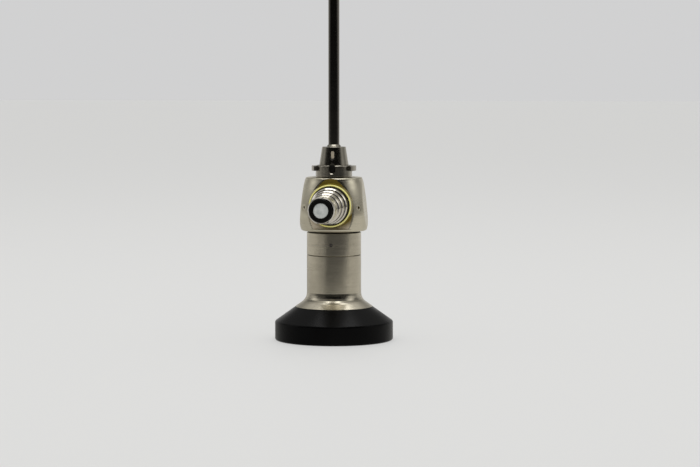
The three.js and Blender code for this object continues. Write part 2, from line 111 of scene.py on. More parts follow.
class Paint:
    """A material's node tree, with short ways to add to it."""

    def __init__(self, name, color, metallic, roughness):
        self.material = bpy.data.materials.new(name)
        self.material.use_nodes = True
        self.nodes = self.material.node_tree.nodes
        self.links = self.material.node_tree.links
        self.shader = self.nodes["Principled BSDF"]
        self.set("Base Color", (*color, 1))
        self.set("Metallic", metallic)
        self.set("Roughness", roughness)

    def set(self, socket, value):
        self.shader.inputs[socket].default_value = value

    def node(self, kind, **inputs):
        made = self.nodes.new(kind)
        for name, value in inputs.items():
            made.inputs[name].default_value = value
        return made

    def link(self, source, target):
        self.links.new(source, target)

    def position(self):
        """Places on the object, in metres."""
        return self.nodes.new("ShaderNodeTexCoord").outputs["Object"]

    def scaled_position(self, scale):
        """Places on the object, in metres times a scale for each direction."""
        mapping = self.node("ShaderNodeMapping", Scale=scale)
        self.link(self.position(), mapping.inputs["Vector"])
        return mapping.outputs["Vector"]

    def noise(self, scale, detail):
        grain = self.node("ShaderNodeTexNoise", Scale=1, Detail=detail, Roughness=0.5)
        self.link(self.scaled_position(scale), grain.inputs["Vector"])
        return grain.outputs["Fac"]

    def ramp(self, value, start, end, low_end, high_end):
        """Turns values from start to end into values from low_end to high_end."""
        ranged = self.nodes.new("ShaderNodeMapRange")
        set_range(ranged, start, end, low_end, high_end)
        self.link(value, ranged.inputs["Value"])
        return ranged.outputs["Result"]

    def spread(self, noise, low_end, high_end):
        """Turns a noise's middle range into values from low_end to high_end."""
        return self.ramp(noise, NOISE_LOW, NOISE_HIGH, low_end, high_end)

    def vary_roughness(self, noise, low_end, high_end):
        self.link(self.spread(noise, low_end, high_end), self.shader.inputs["Roughness"])

    def mix(self, factor, first, second):
        """Blends two colours, each a fixed one or another node's."""
        mix = self.nodes.new("ShaderNodeMix")
        mix.data_type = "RGBA"
        colors = [s for s in mix.inputs if s.type == "RGBA"]
        for socket, color in zip(colors, (first, second)):
            if isinstance(color, tuple):
                socket.default_value = (*color, 1)
            else:
                self.link(color, socket)
        self.link(factor, mix.inputs["Factor"])
        return next(s for s in mix.outputs if s.type == "RGBA")

    def tint(self, noise, dark, light):
        """A colour that a noise varies from dark to light."""
        return self.mix(self.spread(noise, 0, 1), dark, light)

    def color(self, source):
        self.link(source, self.shader.inputs["Base Color"])

    def bump(self, value, height, strength=1.0):
        """Raises the surface by a value, where 1 stands for a height in metres."""
        bump = self.node("ShaderNodeBump", Strength=strength, Distance=height)
        self.link(value, bump.inputs["Height"])
        previous = self.shader.inputs["Normal"].links
        if previous:
            self.link(previous[0].from_socket, bump.inputs["Normal"])
        self.link(bump.outputs["Normal"], self.shader.inputs["Normal"])


def turning_marks(axis, across, along):
    """The scale of marks that run round an axis: fine along it and long across it."""
    return tuple(along if i == axis else across for i in range(3))


def satin_steel(name, color, roughness, marks, axis=2, turn=0.0):
    """Steel turned about an axis. marks scales the marks' depth, and turn turns the long highlights."""
    paint = Paint(name, color, 1, roughness)
    lines = paint.noise(turning_marks(axis, across=60, along=9000), detail=4)
    bands = paint.noise(turning_marks(axis, across=30, along=1300), detail=2)
    clouds = paint.noise((220,) * 3, detail=5)
    dark = tuple(c * 0.9 for c in color)
    light = tuple(c * 1.07 for c in color)
    paint.color(paint.tint(clouds, dark, light))
    paint.vary_roughness(bands, roughness * 0.88, roughness * 1.15)
    paint.bump(lines, height=4e-6 * marks)
    paint.bump(bands, height=1e-6 * marks)
    paint.set("Anisotropic", 0.55)
    paint.set("Anisotropic Rotation", turn)
    tangent = paint.nodes.new("ShaderNodeTangent")
    tangent.direction_type = "RADIAL"
    tangent.axis = "XYZ"[axis]
    paint.link(tangent.outputs["Tangent"], paint.shader.inputs["Tangent"])
    return paint.material


def steel_with_painted_reflection():
    """Milled steel, with the yellow ring's reflection and shade painted round the light post."""
    paint = Paint("steel_with_painted_reflection", (0.3, 0.26, 0.2), 0.62, 0.34)
    lines = paint.noise((9000, 60, 60), detail=3)
    away = paint.nodes.new("ShaderNodeVectorMath")
    away.operation = "DISTANCE"
    paint.link(paint.position(), away.inputs[0])
    away.inputs[1].default_value = UPRIGHT @ Vector((PAINTED_REFLECTION_RIGHT, -FRONT_FLAT, POST_HEIGHT + PAINTED_REFLECTION_UP))
    beyond_painted_reflection = paint.ramp(away.outputs["Value"], PAINTED_REFLECTION_RADIUS * MM, PAINTED_REFLECTION_EDGE * MM, 0, 1)
    # Painted reflection and shade: dark olive near the post stands in for the yellow ring reflected in the
    # flat, and fades to the steel's own pale colour.
    paint.color(paint.mix(beyond_painted_reflection, (0.27, 0.19, 0.03), (0.95, 0.83, 0.64)))
    paint.vary_roughness(lines, 0.3, 0.4)
    paint.bump(lines, height=2e-6)
    return paint.material


def black_polymer():
    paint = Paint("black_polymer", (0.0015, 0.0015, 0.0016), 0, 0.3)
    lines = paint.noise(turning_marks(axis=2, across=40, along=5000), detail=3)
    grain = paint.noise((2600,) * 3, detail=3)
    smears = paint.noise((120, 120, 200), detail=4)
    paint.color(paint.tint(smears, (0.001, 0.001, 0.0011), (0.002, 0.002, 0.0021)))
    paint.vary_roughness(smears, 0.24, 0.36)
    paint.bump(lines, height=4e-6)
    paint.bump(grain, height=2e-6)
    paint.set("Specular IOR Level", 0.08)
    return paint.material


def yellow_enamel():
    """Yellow enamel with painted light: shade painted dark olive on the ring's skirt, and a highlight
    painted pale yellow on its lip.
    """
    paint = Paint("yellow_enamel", (0.62, 0.47, 0.012), 0, 0.28)
    clouds = paint.noise((500,) * 3, detail=4)
    split = paint.nodes.new("ShaderNodeSeparateXYZ")
    paint.link(paint.position(), split.inputs["Vector"])
    painted_highlight_share = paint.ramp(split.outputs["Y"], -LIP_START * MM, -LIP_END * MM, 0, 1)
    # Painted shade: the skirt's dark olive. Painted highlight: the lip's pale yellow.
    skirt = paint.tint(clouds, (0.12, 0.09, 0.006), (0.2, 0.15, 0.012))
    lip = paint.tint(clouds, (0.95, 0.86, 0.24), (1, 0.95, 0.36))
    paint.color(paint.mix(painted_highlight_share, skirt, lip))
    paint.set("Coat Weight", 0.9)
    paint.set("Coat Roughness", 0.1)
    return paint.material


def black_rubber():
    paint = Paint("black_rubber", (0.012, 0.011, 0.011), 0, 0.6)
    grain = paint.noise((3000,) * 3, detail=4)
    paint.vary_roughness(grain, 0.5, 0.72)
    paint.bump(grain, height=6e-6)
    return paint.material


def black_ring():
    """The satin black of the ring round the light inlet."""
    paint = Paint("black_ring", (0.004, 0.0034, 0.003), 0, 0.3)
    paint.set("Specular IOR Level", 0.25)
    grain = paint.noise((2500,) * 3, detail=4)
    paint.vary_roughness(grain, 0.24, 0.4)
    paint.bump(grain, height=3e-6)
    return paint.material


def blackened_metal():
    paint = Paint("blackened_metal", (0.035, 0.033, 0.031), 0.7, 0.5)
    lines = paint.noise(turning_marks(axis=2, across=60, along=6000), detail=3)
    paint.vary_roughness(lines, 0.4, 0.6)
    paint.bump(lines, height=3e-6)
    return paint.material


def fibre_face():
    """The polished ends of many fine glass fibres."""
    paint = Paint("fibre_face", (0.62, 0.64, 0.62), 0, 0.22)
    cells = paint.node("ShaderNodeTexVoronoi", Scale=1)
    paint.link(paint.scaled_position((16000,) * 3), cells.inputs["Vector"])
    clouds = paint.noise((900,) * 3, detail=3)
    paint.color(paint.tint(clouds, (0.42, 0.44, 0.43), (0.6, 0.61, 0.59)))
    paint.bump(cells.outputs["Distance"], height=2e-6, strength=0.4)
    paint.set("Coat Weight", 0.6)
    paint.set("Coat Roughness", 0.06)
    return paint.material


def coated_glass():
    paint = Paint("coated_glass", (0.93, 0.97, 0.98), 0, 0.02)
    smears = paint.noise((400,) * 3, detail=4)
    paint.vary_roughness(smears, 0.01, 0.05)
    paint.set("Transmission Weight", 1)
    paint.set("IOR", 1.52)
    paint.set("Coat Weight", 0.3)
    paint.set("Coat Tint", (0.72, 0.85, 0.95, 1))
    return paint.material


def ink():
    """The dark fill of an engraved mark."""
    paint = Paint("engraving_ink", (0.03, 0.025, 0.02), 0, 0.5)
    grain = paint.noise((4000,) * 3, detail=3)
    paint.vary_roughness(grain, 0.4, 0.6)
    return paint.material


# ---- mesh building ----


def rotated(point, angle):
    """A flat point turned about the origin."""
    cos, sin = math.cos(angle), math.sin(angle)
    return Vector((point.x * cos - point.y * sin, point.x * sin + point.y * cos))


def fillet(before, corner, after, size):
    """The arc that rounds a corner, whose neighbours lie at two offsets from it."""
    between = before.angle(after)
    reach = size / math.tan(between / 2)
    reach = min(reach, FILLET_SHARE * before.length, FILLET_SHARE * after.length)
    way_in, way_out = before.normalized(), after.normalized()
    size = reach * math.tan(between / 2)
    middle = corner + (way_in + way_out).normalized() * size / math.sin(between / 2)
    first = corner + way_in * reach - middle
    last = corner + way_out * reach - middle
    turn = math.pi - between
    steps = max(2, math.ceil(turn / FILLET_STEP))
    way = math.copysign(turn, first.x * last.y - first.y * last.x)
    return [middle + rotated(first, way * k / steps) for k in range(steps + 1)]


def rounded(profile, closed):
    """The path through (radius, height) or (radius, height, fillet) corners, its fillets drawn as arcs."""
    corners = [(Vector(p[:2]), p[2] if len(p) > 2 else 0) for p in profile]
    count = len(corners)
    path = []
    for i, (corner, size) in enumerate(corners):
        at_end = not closed and i in (0, count - 1)
        if size == 0 or at_end:
            path.append(corner)
            continue
        before = corners[i - 1][0] - corner
        after = corners[(i + 1) % count][0] - corner
        path += fillet(before, corner, after, size)
    return path


def supported(path, closed):
    """The path with a point just inside each end of its long stretches, so that they shade flat."""
    stops = []
    ends = path[1:] + path[:1] if closed else path[1:]
    for start, end in zip(path, ends):
        stops.append(start)
        way = end - start
        if way.length > LONG_STRETCH:
            stops += [start + way.normalized() * SUPPORT, end - way.normalized() * SUPPORT]
    return stops if closed else stops + path[-1:]


def mesh_object(name, vertices, faces, place):
    """A new object, with its faces turned outwards, smooth except along crisp edges."""
    mesh = bpy.data.meshes.new(name)
    mesh.from_pydata([place @ Vector(v) for v in vertices], [], faces)
    piece = bpy.data.objects.new(name, mesh)
    bpy.context.scene.collection.objects.link(piece)
    tidy_mesh(piece)
    return piece


def tidy_mesh(piece):
    """Merges points that meet, turns the faces outwards and sets which edges are crisp."""
    work = bmesh.new()
    work.from_mesh(piece.data)
    bmesh.ops.remove_doubles(work, verts=work.verts, dist=MERGE)
    bmesh.ops.dissolve_degenerate(work, edges=work.edges, dist=MERGE)
    bmesh.ops.recalc_face_normals(work, faces=work.faces)
    for face in work.faces:
        face.smooth = True
    for edge in work.edges:
        edge.smooth = len(edge.link_faces) == 2 and edge.calc_face_angle() < SHARP
    work.to_mesh(piece.data)
    work.free()


def turned(name, profile, place=UPRIGHT, facets=FACETS, shape=None):
    """A piece turned about its axis. shape, if given, makes a radius from a radius, height and angle."""
    on_axis = profile[0][0] == 0
    path = supported(rounded(profile, closed=not on_axis), closed=not on_axis)
    angles = np.linspace(0, 2 * math.pi, facets, endpoint=False)
    vertices = []
    rows = []
    for r, h in path:
        if r < TINY:
            rows.append([len(vertices)] * facets)
            vertices.append((0, 0, h))
            continue
        rows.append(list(range(len(vertices), len(vertices) + facets)))
        for angle in angles:
            reach = shape(r, h, angle) if shape else r
            vertices.append((reach * math.cos(angle), reach * math.sin(angle), h))
    return mesh_object(name, vertices, skin(rows, wrap=not on_axis), place)


def skin(rows, wrap):
    """The faces between neighbouring rows of vertices, each row a closed ring."""
    pairs = list(zip(rows, rows[1:]))
    if wrap:
        pairs.append((rows[-1], rows[0]))
    faces = []
    for lower, upper in pairs:
        count = len(lower)
        for i in range(count):
            k = (i + 1) % count
            ring = list(dict.fromkeys((lower[i], lower[k], upper[k], upper[i])))
            if len(ring) > 2:
                faces.append(ring)
    return faces


def prism(name, outline, bottom, top, place=UPRIGHT, top_outline=None):
    """An upright prism on an outline of (x, y) points, or one that widens to another outline."""
    count = len(outline)
    vertices = [(x, y, bottom) for x, y in outline]
    vertices += [(x, y, top) for x, y in top_outline or outline]
    faces = [tuple(range(count)), tuple(range(count, 2 * count))]
    faces += [(i, (i + 1) % count, count + (i + 1) % count, count + i) for i in range(count)]
    return mesh_object(name, vertices, faces, place)


def obround(half_width, half_span, steps=16):
    """An outline with round ends, its length along Y. half_span reaches to the ends' centres."""
    turns = [math.pi * i / steps for i in range(steps + 1)]
    upper = [(half_width * math.cos(t), half_span + half_width * math.sin(t)) for t in turns]
    return upper + [(-x, -y) for x, y in upper]


def bored(name, reach, bottom, top, place):
    """A round tool that bores a hole."""
    return turned(name, [(0, bottom), (reach, bottom), (reach, top), (0, top)], place, HOLE_FACETS)


def combine(piece, tool, operation):
    """Cuts a tool out of a piece or joins it on, and removes the tool."""
    modifier = piece.modifiers.new("combine", "BOOLEAN")
    modifier.operation = operation
    modifier.solver = "EXACT"
    modifier.object = tool
    graph = bpy.context.evaluated_depsgraph_get()
    mesh = bpy.data.meshes.new_from_object(piece.evaluated_get(graph))
    piece.modifiers.clear()
    piece.data = mesh
    tidy_mesh(piece)
    bpy.data.objects.remove(tool)


def finish_piece(piece, node, body, material):
    """Puts a piece in a CAD node's place."""
    piece.data.materials.clear()
    piece.data.materials.append(material)
    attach(piece, body)
    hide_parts(node)


def paint_faces(piece, material, wanted):
    """Gives another material to the faces whose middle, in millimetres, and normal are wanted."""
    piece.data.materials.append(material)
    for face in piece.data.polygons:
        middle = (face.center - Vector((0, 0, TABLE))) / MM
        if wanted(middle, face.normal):
            face.material_index = len(piece.data.materials) - 1


def near(place, wanted):
    return abs(place - wanted) < NEAR


def faces_front(normal):
    return normal.y < -0.999


def recolour(node, material):
    """Gives a CAD node that stays a better material."""
    target = frame["nodes"][node]
    target.data.materials.clear()
    target.data.materials.append(material)


# ---- eyepiece ----

CUP_WALL = 5.05  # height of the cup's upright wall
FLARE_SLOPE = 1.39  # radius lost for each millimetre of height on the flare, just above the seam
SEAM_RADIUS = radius("ocular_body")
SEAM_HEIGHT = high("eyepiece_cup").z
BORE_RADIUS = 8.25  # of the cup, round the flared tube's foot
WINDOW_BORE = 5.45  # of the cup, round the window's frame
RECESS_FLOOR = 5.0  # the floor of the recess for the eye, and its radius
RECESS_RADIUS = 7.2
MOUTH_RADIUS = 12.6  # the recess's mouth, and the edge inside the rim that the scope stands on
MOUTH_HEIGHT = 0.35
RIM_EDGE = 13.2
GAP = 0.05  # between pieces that sit in one another
FLANGE_TOP = 8.15  # the flared tube's foot: the top of its flange inside, and its inner radius
FLANGE_BORE = 7.6
TUBE_BORE = 5.8
NECK_RADIUS = 6.4  # of the tube where the marking sleeve covers it
UNDER_GAP = 0.5  # height of the dark gap under the housing
DOT_HEIGHT = 26.15
DOT_RADIUS = 0.48
DOT_PROUD = 0.002  # of the sleeve
DOT_STEPS = 24
DOT_BACK = 0.985  # the mark's back lies this share of its front's distance from the axis


def eyepiece_cup(material):
    outside = radius("eyepiece_cup")
    seam = SEAM_HEIGHT - 0.02
    shelf = low("ocular_body").z - GAP
    profile = [
        (outside, 0, 0.5),
        (outside, CUP_WALL, 0.6),
        (SEAM_RADIUS, seam, 0.05),
        (BORE_RADIUS, seam),
        (BORE_RADIUS, shelf),
        (WINDOW_BORE, shelf),
        (WINDOW_BORE, RECESS_FLOOR, 0.1),
        (RECESS_RADIUS, RECESS_FLOOR, 0.5),
        (MOUTH_RADIUS, MOUTH_HEIGHT, 0.3),
        (RIM_EDGE, 0, 0.3),
    ]
    finish_piece(turned("cup", profile), "eyepiece_cup", "scope", material)


def ocular_body(material):
    foot = low("ocular_body").z
    top = high("ocular_body").z
    lip = SEAM_HEIGHT + 0.04
    seam = low("marking_sleeve").z - 0.08
    tube = radius("marking_sleeve")
    flare_top = SEAM_HEIGHT + (SEAM_RADIUS - tube) / FLARE_SLOPE
    profile = [
        (BORE_RADIUS - GAP, foot),
        (BORE_RADIUS - GAP, lip),
        (SEAM_RADIUS, lip, 0.06),
        (SEAM_RADIUS - 0.04 * FLARE_SLOPE, lip + 0.04),
        (tube, flare_top, 3.3),
        (tube, seam, 0.1),
        (NECK_RADIUS, seam + 0.04),
        (NECK_RADIUS, top),
        (TUBE_BORE, top),
        (TUBE_BORE, FLANGE_TOP),
        (FLANGE_BORE, FLANGE_TOP),
        (FLANGE_BORE, foot),
    ]
    finish_piece(turned("flared_tube", profile), "ocular_body", "scope", material)


def marking_sleeve(material, shadow_material):
    foot = low("marking_sleeve").z + 0.07
    top = high("marking_sleeve").z
    edge = low("light_housing").z - UNDER_GAP
    tube = radius("marking_sleeve")
    inset, bore, step = 6.2, 5.0, 26.7
    profile = [
        (NECK_RADIUS + GAP, foot),
        (tube, foot, 0.1),
        (tube, edge, 0.08),
        (inset, edge + 0.02),
        (inset, top),
        (bore, top),
        (bore, step),
        (NECK_RADIUS + GAP, step),
    ]
    sleeve = turned("upper_band", profile)
    finish_piece(sleeve, "marking_sleeve", "scope", material)
    paint_faces(sleeve, shadow_material, lambda p, n: p.z > edge + 0.01)


def marker_dot(material):
    """A round mark in line with the light post, sunk into the sleeve."""
    reach = radius("marking_sleeve") + DOT_PROUD
    turns = [2 * math.pi * i / DOT_STEPS for i in range(DOT_STEPS)]
    rim = [(DOT_RADIUS * math.cos(t), DOT_HEIGHT + DOT_RADIUS * math.sin(t)) for t in turns]
    spots = [(0, DOT_HEIGHT), *rim]
    front = [(reach * math.sin(x / reach), -reach * math.cos(x / reach), z) for x, z in spots]
    back = [(x * DOT_BACK, y * DOT_BACK, z) for x, y, z in front]
    count = len(spots)
    faces = []
    for i in range(DOT_STEPS):
        a, b = 1 + i, 1 + (i + 1) % DOT_STEPS
        faces += [(0, a, b), (count, count + b, count + a), (a, count + a, count + b, b)]
    dot = mesh_object("marker", front + back, faces, UPRIGHT)
    dot.data.materials.append(material)
    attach(dot, "scope")


# ---- light housing ----

BELLY = 9.6  # the barrel's largest radius, and its height
BELLY_HEIGHT = 34.3
UPPER_ARC = 23.9  # the arcs that narrow the barrel, above its belly and below
LOWER_ARC = 12.5
FOOT_ROUND = 0.7  # the barrel's rounded bottom and top edges
TOP_ROUND = 0.5
UNDERSIDE_RADIUS = 7.0  # where its flat underside ends
HOUSING_BORE = 6.3
HOUSING_ROOF = 40.5  # the bore stops here, and the shaft's seat goes on through the top
SEAT_BORE = 3.25
FRONT_FLAT = 7.5
FRONT_LEDGE = 30.5  # the front flat stops here, on a shelf
LEDGE_EASE = 0.22
SIDE_FLAT = 8.46
SIDE_TILT = math.radians(5.8)
CHORD_STEPS = 24  # along a flat, an arc between two flats, an eased corner, and the barrel's height
ARC_STEPS = 20
CORNER_STEPS = 4
HEIGHT_STEPS = 60
CORNER_EASE = 0.3  # the length that a corner's easing takes, and the most of a flat's half width
EASE_SHARE = 0.45
SCREW_TURN = math.radians(51)
SCREW_HEIGHT = 36.25
SCREW_BASE = 8.25
SCREW_FACE = 9.47
SCREW_RADIUS = 0.88
SCREW_GAP = 0.02
SCREW_CUT = 11.0  # the screws' holes are cut out to here, past the barrel
SOCKET_RADIUS = 0.38
SOCKET_DEPTH = 1.15


def barrel_radius(height):
    arc = UPPER_ARC if height > BELLY_HEIGHT else LOWER_ARC
    return BELLY - arc + math.sqrt(arc**2 - (height - BELLY_HEIGHT) ** 2)


def flat_line(distance, half, ease, width):
    """One flat of the outline, facing +X, with its two corners eased."""
    corner = Vector((distance, -width))
    start = corner - Vector((math.sin(half), math.cos(half))) * ease
    end = corner + Vector((0, 1)) * ease
    eased = []
    for k in range(CORNER_STEPS + 1):
        t = k / CORNER_STEPS
        eased.append(start * (1 - t) ** 2 + corner * 2 * t * (1 - t) + end * t**2)
    middle = [2 * k / CHORD_STEPS - 1 for k in range(1, CHORD_STEPS)]
    line = eased + [Vector((distance, (width - ease) * share)) for share in middle]
    return line + [Vector((p.x, -p.y)) for p in reversed(eased)]


def milled_section(reach, height, front_shave=None):
    """The housing's outline at a height: a circle with four flats, its corners slightly eased.

    front_shave, where given, puts the front on the circle too, drawn in by that much.
    """
    side = SIDE_FLAT - (height - POST_HEIGHT) * math.tan(SIDE_TILT)
    distances = [FRONT_FLAT, side, side, side]
    halves = [math.acos(d / reach) if d < reach else 0 for d in distances]
    outline = []
    for i, (distance, half) in enumerate(zip(distances, halves)):
        middle = math.radians(-90 + 90 * i)
        width = reach * math.sin(half)
        ease = min(CORNER_EASE, width * EASE_SHARE)
        line = flat_line(min(distance, reach), half, ease, width)
        if i == 0 and front_shave is not None:
            line = [p.normalized() * (reach - front_shave) for p in line]
        outline += [tuple(rotated(p, middle)) for p in line]
        slack = ease / reach
        start = middle + half + slack
        end = middle + math.pi / 2 - halves[(i + 1) % 4] - slack
        for k in range(1, ARC_STEPS):
            angle = start + (end - start) * k / ARC_STEPS
            outline.append((reach * math.cos(angle), reach * math.sin(angle)))
    return outline


def quarter(steps, start=0):
    """Angles from a start, in degrees, through a quarter turn."""
    return [math.radians(start + 90 * k / steps) for k in range(steps + 1)]


def housing_sections():
    """The housing's outlines with their heights, from the underside up the outside and down the bore."""
    base = low("light_housing").z
    top = high("light_housing").z
    sections = []

    def add(reach, height, front_shave=None):
        sections.append((height, milled_section(reach, height, front_shave)))

    add(UNDERSIDE_RADIUS, base, 0)
    edge = barrel_radius(base + FOOT_ROUND) - FOOT_ROUND
    for angle in quarter(8, start=-90):
        height = base + FOOT_ROUND * (1 + math.sin(angle))
        add(edge + FOOT_ROUND * math.cos(angle), height, 0)
    for angle in quarter(4):
        height = FRONT_LEDGE - LEDGE_EASE * (1 - math.sin(angle))
        add(barrel_radius(height), height, LEDGE_EASE * (1 - math.cos(angle)))
    end = top - TOP_ROUND
    for k in range(HEIGHT_STEPS + 1):
        height = FRONT_LEDGE + (end - FRONT_LEDGE) * k / HEIGHT_STEPS
        add(barrel_radius(height), height)
    edge = barrel_radius(end) - TOP_ROUND
    for angle in quarter(5)[1:]:
        add(edge + TOP_ROUND * math.cos(angle), end + TOP_ROUND * math.sin(angle))
    add(SEAT_BORE, top)
    add(SEAT_BORE, HOUSING_ROOF)
    add(HOUSING_BORE, HOUSING_ROOF)
    add(HOUSING_BORE, base)
    return sections


def light_housing(material, flat_material):
    vertices = []
    rows = []
    for height, section in housing_sections():
        rows.append(list(range(len(vertices), len(vertices) + len(section))))
        vertices += [(x, y, height) for x, y in section]
    housing = mesh_object("housing", vertices, skin(rows, wrap=True), UPRIGHT)
    for turn in (-SCREW_TURN, SCREW_TURN):
        hole = bored("hole", SCREW_RADIUS + SCREW_GAP, SCREW_BASE - GAP, SCREW_CUT, screw_place(turn))
        combine(housing, hole, "DIFFERENCE")
    finish_piece(housing, "light_housing", "scope", material)
    # Painted reflection and shade: the front flat gets the steel with the yellow ring's reflection painted
    # round the post.
    paint_faces(housing, flat_material, lambda p, n: faces_front(n) and near(p.y, -FRONT_FLAT))


def screw_place(turn):
    spin = Matrix.Rotation(turn, 4, "Z")
    return UPRIGHT @ spin @ Matrix.Translation((0, 0, SCREW_HEIGHT)) @ FACE_FRONT


def grub_screw(name, node, turn, material):
    profile = [
        (0, SCREW_BASE),
        (SCREW_RADIUS, SCREW_BASE),
        (SCREW_RADIUS, SCREW_FACE, 0.04),
        (SOCKET_RADIUS, SCREW_FACE, 0.02),
        (SOCKET_RADIUS - 0.04, SCREW_FACE - SOCKET_DEPTH),
        (0, SCREW_FACE - SOCKET_DEPTH - GAP),
    ]
    screw = turned(name, profile, screw_place(turn), HOLE_FACETS)
    finish_piece(screw, node, "scope", material)


# ---- light post ----


class Thread(NamedTuple):
    """A right-handed thread: its crests' radius, where it starts and ends, its pitch and its depth."""

    reach: float
    start: float
    end: float
    pitch: float
    depth: float


THREAD_STEPS = 10  # in each turn
POST_THREAD = Thread(reach=3.3, start=9.2, end=13.7, pitch=0.75, depth=0.22)
ADAPTER_THREAD = Thread(reach=3.5, start=16.9, end=19.2, pitch=0.5, depth=0.16)
POST_FOOT = 7.6  # the yellow ring and the post's flange start here, just off the front flat
FLANGE_RADIUS = 4.5
FLANGE_FACE = 8.85
RING_FACE = 9.5
INNER_START = 9.85
INNER_END = 19.4
OUTER_START = 17.25
OUTER_END = 28.72
INLET_BASE = 28.0
INLET_FACE = 29.5
SLEEVE_BORE = 3.2  # the adapters come off over the black ring
INNER_BORE = 3.35  # the inner adapter's threaded bore, over the post, and where it ends
INNER_BORE_END = 14.0
OUTER_BORE = 3.55  # the outer adapter's threaded bore, over the inner adapter


def threaded(thread):
    """Profile points close enough together to carry a thread, and the shape that turned() gives them."""
    steps = round((thread.end - thread.start) / thread.pitch * THREAD_STEPS)
    heights = [thread.start + (thread.end - thread.start) * k / steps for k in range(steps + 1)]

    def shape(r, h, angle):
        if abs(r - thread.reach) > TINY or not thread.start <= h <= thread.end:
            return r
        phase = (h / thread.pitch - angle / (2 * math.pi)) % 1
        fade = min(1, (h - thread.start) / thread.pitch, (thread.end - h) / thread.pitch)
        return r - thread.depth * fade * (0.5 + 0.5 * math.cos(2 * math.pi * phase))

    return [(thread.reach, h) for h in heights], shape


def colour_ring(material):
    bore, skirt, lip = 4.55, 6.04, 5.58
    profile = [
        (bore, POST_FOOT),
        (skirt, POST_FOOT, 0.05),
        (lip + 0.08, RING_FACE - 0.15, 0.1),
        (lip, RING_FACE, 0.06),
        (lip - 0.26, RING_FACE, 0.06),
        (lip - 0.36, RING_FACE - 0.5, 0.05),
        (bore, RING_FACE - 0.55),
    ]
    ring = turned("yellow_ring", profile, ALONG_POST)
    finish_piece(ring, "colour_ring", "scope", material)


def light_post(material):
    """A root in the housing, a flange in the yellow ring, a thread, and a neck that holds the inlet."""
    root, neck, bore = 3.55, 3.0, 1.95
    root_end, thread_end, neck_end = 5.0, 13.95, INLET_BASE - GAP
    rows, shape = threaded(POST_THREAD)
    profile = [
        (bore, root_end),
        (root, root_end),
        (root, POST_FOOT),
        (FLANGE_RADIUS, POST_FOOT),
        (FLANGE_RADIUS, FLANGE_FACE, 0.1),
        (POST_THREAD.reach, FLANGE_FACE),
        *rows,
        (POST_THREAD.reach, thread_end, 0.1),
        (neck, thread_end),
        (neck, neck_end, 0.05),
        (bore, neck_end),
    ]
    post = turned("post", profile, ALONG_POST, FINE_FACETS, shape)
    finish_piece(post, "light_post", "scope", material)


def inner_adapter(material):
    """Two rings with a groove between them, and a threaded end for the outer adapter."""
    wide, narrow, groove, chamfer = 4.95, 4.45, 4.2, 0.3
    wide_end, narrow_end = 12.3, 16.3
    rows, shape = threaded(ADAPTER_THREAD)
    profile = [
        (INNER_BORE, INNER_START),
        (wide, INNER_START, 0.16),
        (wide, wide_end, 0.1),
        (wide - chamfer, wide_end + chamfer, 0.06),
        (groove, wide_end + 0.35, 0.05),
        (groove, 13.3, 0.1),
        (narrow, 13.45, 0.1),
        (narrow, narrow_end, 0.1),
        (narrow - chamfer, narrow_end + chamfer, 0.06),
        (ADAPTER_THREAD.reach, narrow_end + 0.35),
        *rows,
        (ADAPTER_THREAD.reach, INNER_END, 0.08),
        (SLEEVE_BORE, INNER_END),
        (SLEEVE_BORE, INNER_BORE_END),
        (INNER_BORE, INNER_BORE_END),
    ]
    sleeve = turned("inner_sleeve", profile, ALONG_POST, FACETS, shape)
    finish_piece(sleeve, "inner_adapter", "inner_sleeve", material)


def outer_adapter(material):
    """A ring, a barrel with a groove round it, and a nose round the light inlet."""
    ring, barrel, groove, nose, chamfer = 4.0, 3.6, 3.42, 3.57, 0.25
    ring_end, barrel_end, groove_end, nose_end = 20.5, 24.6, 25.35, 28.1
    profile = [
        (OUTER_BORE, OUTER_START),
        (ring, OUTER_START, 0.12),
        (ring, ring_end, 0.1),
        (ring - chamfer, ring_end + chamfer, 0.06),
        (barrel, ring_end + 0.3, 0.05),
        (barrel, barrel_end, 0.08),
        (groove, barrel_end + 0.15, 0.1),
        (groove, groove_end, 0.1),
        (nose, groove_end + 0.15, 0.1),
        (nose, nose_end, 0.2),
        (3.3, OUTER_END - 0.02, 0.05),
        (SLEEVE_BORE, OUTER_END),
        (SLEEVE_BORE, INNER_END + GAP),
        (OUTER_BORE, INNER_END + GAP),
    ]
    sleeve = turned("outer_sleeve", profile, ALONG_POST)
    finish_piece(sleeve, "outer_adapter", "outer_sleeve", material)


def inner_seal(material):
    outside, start, end = 5.12, FLANGE_FACE + 0.1, INNER_START - GAP
    profile = [
        (INNER_BORE, start),
        (FLANGE_RADIUS - GAP, start + 0.03),
        (outside, start + 0.11),
        (outside, end, 0.1),
        (INNER_BORE, end),
    ]
    seal = turned("inner_seal", profile, ALONG_POST)
    finish_piece(seal, "inner_adapter_seal", "inner_travel", material)


def outer_seal(material):
    outside, start, end = 3.8, 16.72, OUTER_START - 0.07
    profile = [
        (OUTER_BORE, start),
        (outside, start, 0.1),
        (outside, end, 0.1),
        (OUTER_BORE, end),
    ]
    seal = turned("outer_seal", profile, ALONG_POST)
    finish_piece(seal, "outer_adapter_seal", "outer_travel", material)


def light_inlet(ring_material, glass_material):
    outside, bore, glass = 3.0, 2.0, 1.95
    profile = [
        (bore, INLET_BASE),
        (outside, INLET_BASE, 0.05),
        (outside, INLET_FACE, 0.14),
        (bore, INLET_FACE, 0.08),
    ]
    ring = turned("inlet_rim", profile, ALONG_POST)
    finish_piece(ring, "inlet_ring", "scope", ring_material)
    profile = [
        (0, INLET_BASE),
        (glass, INLET_BASE),
        (glass, INLET_FACE - 0.14, 0.08),
        (0, INLET_FACE - 0.1),
    ]
    face = turned("inlet_face", profile, ALONG_POST, FINE_FACETS)
    finish_piece(face, "inlet_glass", "scope", glass_material)


# ---- sheath seat ----

